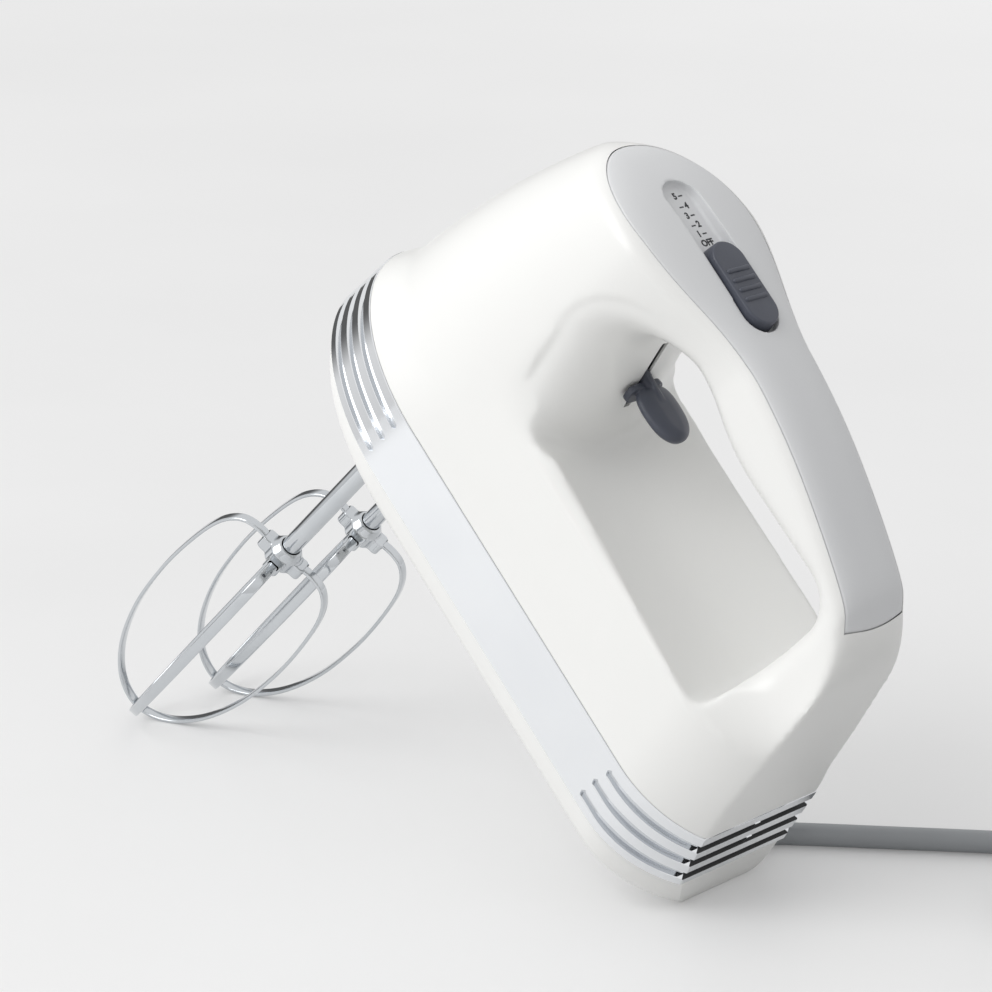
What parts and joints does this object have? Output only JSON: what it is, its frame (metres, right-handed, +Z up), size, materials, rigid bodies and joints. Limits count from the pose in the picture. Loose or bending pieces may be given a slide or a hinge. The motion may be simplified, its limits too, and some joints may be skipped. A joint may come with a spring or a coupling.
{
  "type": "hand mixer",
  "caption": "Hand-held electric mixer with a loop handle, thumb speed slider, eject lever, bright trim band, paired wire beaters and a swivelling cord.",
  "frame": {"origin": "middle of the footprint of the mixer without its cord, on the worktop it stands on", "axes": "+Z up from the worktop, +X from the heel towards the beaters, +Y to the mixer's left; the mixer stands tipped back on its heel and beater tips"},
  "size_m": [0.4042, 0.1662, 0.2157],
  "materials": {
    "white_abs": "moulded ABS, satin gloss",
    "grey_panel": "moulded ABS, light grey satin",
    "slate_abs": "moulded ABS, slate grey",
    "chromed_abs": "bright chrome plating on ABS",
    "chromed_steel": "chrome-plated steel",
    "steel": "turned steel",
    "iron": "laminated electrical steel",
    "copper": "enamelled copper wire",
    "bronze": "sintered bronze and brass",
    "white_nylon": "glass-filled nylon",
    "black_nylon": "black nylon",
    "circuit_board": "glass-fibre circuit board",
    "carbon": "pressed carbon",
    "cord_vinyl": "grey flexible vinyl"
  },
  "bodies": {
    "housing": {"main_housing": "white_abs", "handle_cover": "grey_panel", "trim_band": "chromed_abs", "bottom_cover": "white_abs", "switch_block": "black_nylon", "speed_board": "circuit_board", "eject_lever_pin": "steel", "eject_spring": "steel", "motor_stator": "iron", "motor_bracket": "iron", "rear_bearing": "bronze", "front_bearing": "bronze", "nose_bearing": "bronze", "gear_frame": "white_nylon", "gear_frame_screw_1": "steel", "gear_frame_screw_2": "steel", "gear_frame_screw_3": "steel", "gear_frame_screw_4": "steel", "housing_screw_1": "steel", "housing_screw_2": "steel", "housing_screw_3": "steel", "field_coil_left": "copper", "field_coil_right": "copper", "motor_bolt_left": "steel", "motor_bolt_right": "steel", "carbon_brush_left": "carbon", "carbon_brush_right": "carbon", "brush_holder_left": "bronze", "brush_holder_right": "bronze", "brush_spring_left": "steel", "brush_spring_right": "steel", "mains_lead": "cord_vinyl", "lead_coil": "cord_vinyl", "plug_lead": "cord_vinyl", "plug_body": "cord_vinyl", "plug_blade_left": "bronze", "plug_blade_right": "bronze"},
    "slider": {"speed_slider": "slate_abs"},
    "armature": {"motor_shaft": "steel", "armature_core": "iron", "armature_windings": "copper", "commutator": "copper", "cooling_fan": "white_nylon"},
    "drive_left": {"spindle_left": "steel", "worm_wheel_left": "white_nylon"},
    "drive_right": {"spindle_right": "steel", "worm_wheel_right": "white_nylon"},
    "beater_left": {"beater_left_shaft": "chromed_steel", "beater_left_hub": "chromed_steel", "beater_left_hoop_outer": "chromed_steel", "beater_left_hoop_inner": "chromed_steel", "beater_left_collar": "slate_abs"},
    "beater_right": {"beater_right_shaft": "chromed_steel", "beater_right_hub": "chromed_steel", "beater_right_hoop_outer": "chromed_steel", "beater_right_hoop_inner": "chromed_steel"},
    "ejector": {"eject_lever": "slate_abs"},
    "ejector_plate": {"eject_plate": "white_nylon"},
    "swivel": {"cord_swivel": "white_abs", "strain_relief": "cord_vinyl"}
  },
  "joints": [
    {"name": "speed_slide", "type": "slide", "parent": "housing", "child": "slider", "axis": [0.6999, 0, 0.7142], "range_m": [0, 0.022]},
    {"name": "motor_spin", "type": "hinge", "parent": "housing", "child": "armature", "pos_m": [-0.03884, 0, 0.09441], "axis": [0.6999, 0, 0.7142], "continuous": true},
    {"name": "beater_left_spin", "type": "hinge", "parent": "housing", "child": "drive_left", "pos_m": [0.0267, 0.018, 0.11699], "axis": [-0.7142, 0, 0.6999], "continuous": true},
    {"name": "beater_right_spin", "type": "hinge", "parent": "housing", "child": "drive_right", "pos_m": [0.0267, -0.018, 0.11699], "axis": [-0.7142, 0, 0.6999], "continuous": true},
    {"name": "beater_left_release", "type": "slide", "parent": "drive_left", "child": "beater_left", "axis": [0.7142, 0, -0.6999], "range_m": [0, 0.0065]},
    {"name": "beater_right_release", "type": "slide", "parent": "drive_right", "child": "beater_right", "axis": [0.7142, 0, -0.6999], "range_m": [0, 0.0065]},
    {"name": "eject_pull", "type": "hinge", "parent": "housing", "child": "ejector", "pos_m": [-0.04662, 0, 0.16504], "axis": [0, 1, 0], "range_deg": [0, 22.53]},
    {"name": "eject_push", "type": "slide", "parent": "housing", "child": "ejector_plate", "axis": [0.7142, 0, -0.6999], "range_m": [0, 0.0065], "stiffness_N_per_m": 150, "springref_m": -0.012, "deforming": ["eject_spring"]},
    {"name": "cord_turn", "type": "hinge", "parent": "housing", "child": "swivel", "pos_m": [-0.05475, 0, 0.02459], "axis": [-0.7142, 0, 0.6999], "range_deg": [-90, 45]}
  ],
  "couplings": [
    {"joint": "beater_left_spin", "follows": "motor_spin", "ratio": -0.071429},
    {"joint": "beater_right_spin", "follows": "motor_spin", "ratio": 0.071429},
    {"joint": "beater_right_release", "follows": "beater_left_release", "ratio": 1},
    {"joint": "eject_push", "follows": "beater_left_release", "ratio": 1},
    {"joint": "eject_pull", "follows": "beater_left_release", "rad_per_m": 60.36}
  ]
}
